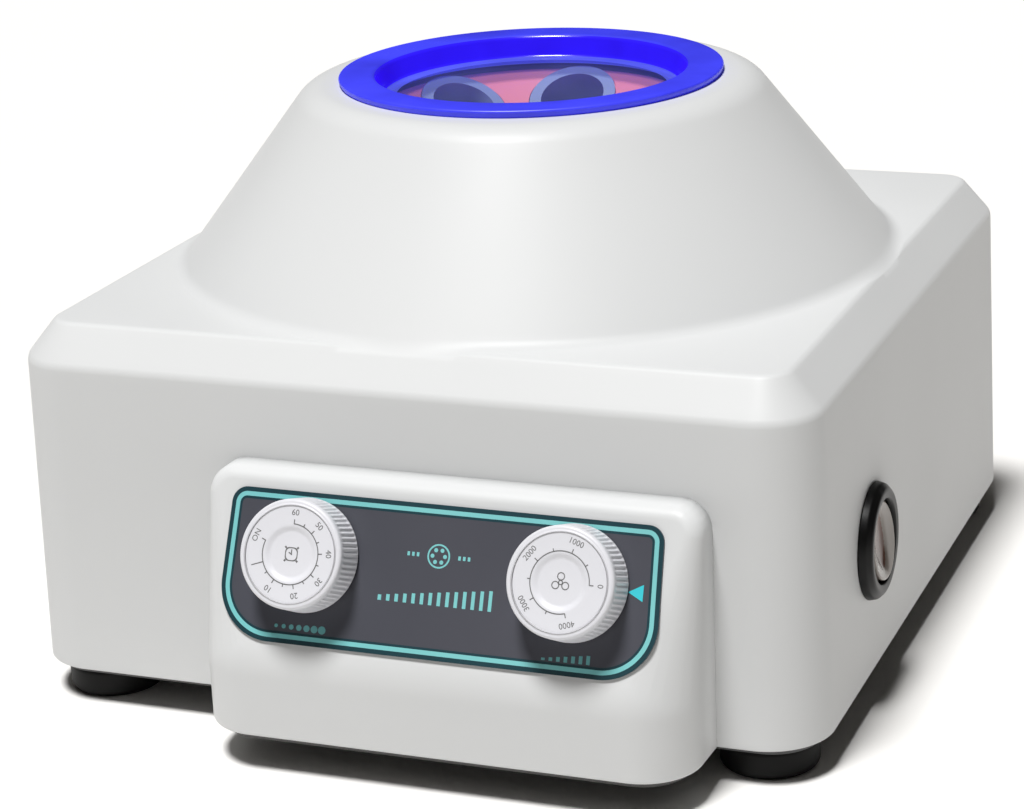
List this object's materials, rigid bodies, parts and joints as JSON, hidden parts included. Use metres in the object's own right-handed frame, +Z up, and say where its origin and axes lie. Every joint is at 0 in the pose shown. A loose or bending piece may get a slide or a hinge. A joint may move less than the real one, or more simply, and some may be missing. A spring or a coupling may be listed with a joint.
{
  "type": "bench centrifuge",
  "caption": "Low-speed bench centrifuge: square housing with a coned top, lift-out tinted lid over an angle rotor, tilted front console with timer and speed knobs, round side switch.",
  "frame": {"origin": "on the table, under the middle of the outline that reaches from the knobs to the fuse cap and from the left wall to the switch", "axes": "+Z up, -Y towards the user at the console, +X towards the power switch"},
  "size_m": [0.2678, 0.3026, 0.1851],
  "materials": {
    "housing_plastic": "glossy moulded ABS",
    "base_paint": "powder coat",
    "foot_rubber": "matt",
    "zinc_steel": "zinc plated",
    "plate_paint": "printed film, satin",
    "timer_brass": "rolled sheet",
    "nickel": "nickel plated",
    "knob_plastic": "satin moulded",
    "control_resin": "moulded resin",
    "board_green": "solder mask",
    "aluminium": "extruded",
    "bowl_steel": "spun sheet",
    "motor_paint": "enamel",
    "black_plastic": "moulded",
    "winding_copper": "enamelled wire",
    "rotor_plastic": "moulded",
    "lid_plastic": "tinted clear moulding",
    "rocker_plastic": "smoky moulded",
    "pin_brass": "bright",
    "fuse_glass": "clear glass",
    "sleeve_plastic": "moulded"
  },
  "bodies": {
    "base": {"housing": "housing_plastic", "base_plate": "base_paint", "foot_front_left": "foot_rubber", "foot_front_right": "foot_rubber", "foot_rear_left": "foot_rubber", "foot_rear_right": "foot_rubber", "foot_screws": "zinc_steel", "foot_nuts": "zinc_steel", "housing_screws": "zinc_steel", "panel_plate": "plate_paint", "timer_clockwork": "timer_brass", "timer_nut": "nickel", "speed_control": "control_resin", "speed_nut": "nickel", "control_board": "board_green", "heat_sink": "aluminium", "board_standoffs": "zinc_steel", "chamber_bowl": "bowl_steel", "bowl_pillars": "zinc_steel", "motor_plate": "zinc_steel", "motor_dampers": "foot_rubber", "motor_case": "motor_paint", "motor_bolts": "zinc_steel", "upper_bearing": "zinc_steel", "lower_bearing": "zinc_steel", "brush_caps": "black_plastic", "switch_rim": "black_plastic", "rocker_pin": "zinc_steel", "inlet_socket": "black_plastic", "inlet_pins": "pin_brass", "inlet_screws": "zinc_steel", "fuse_holder": "black_plastic"},
    "rotor": {"motor_shaft": "zinc_steel", "armature": "winding_copper", "rotor_head": "rotor_plastic", "rotor_nut": "black_plastic", "tube_sleeve_1": "sleeve_plastic", "tube_sleeve_2": "sleeve_plastic", "tube_sleeve_3": "sleeve_plastic", "tube_sleeve_4": "sleeve_plastic", "tube_sleeve_5": "sleeve_plastic", "tube_sleeve_6": "sleeve_plastic"},
    "timer": {"timer_knob": "knob_plastic", "timer_shaft": "zinc_steel"},
    "speed": {"speed_knob": "knob_plastic", "speed_shaft": "zinc_steel"},
    "rocker": {"switch_rocker": "rocker_plastic"},
    "lid": {"lid": "lid_plastic"},
    "fuse_carrier": {"fuse_cap": "black_plastic", "fuse": "fuse_glass"}
  },
  "joints": [
    {"name": "rotor_spin", "type": "hinge", "parent": "base", "child": "rotor", "pos_m": [-0.00186, 0.01481, 0.1], "axis": [0, 0, 1], "continuous": true},
    {"name": "lid_lift", "type": "slide", "parent": "base", "child": "lid", "axis": [0, 0, 1], "range_m": [0, 0.06]},
    {"name": "timer_turn", "type": "hinge", "parent": "base", "child": "timer", "pos_m": [-0.02196, -0.13328, 0.06765], "axis": [0, 0.9205, -0.3907], "range_deg": [-42, 249]},
    {"name": "speed_turn", "type": "hinge", "parent": "base", "child": "speed", "pos_m": [0.06284, -0.13328, 0.06765], "axis": [0, 0.9205, -0.3907], "range_deg": [0, 286]},
    {"name": "power_rock", "type": "hinge", "parent": "base", "child": "rocker", "pos_m": [0.12857, -0.04759, 0.05449], "axis": [0, 1, 0], "range_deg": [0, 12]},
    {"name": "fuse_pull", "type": "slide", "parent": "base", "child": "fuse_carrier", "axis": [0, 0.9999, 0.0158], "range_m": [0, 0.035]}
  ]
}
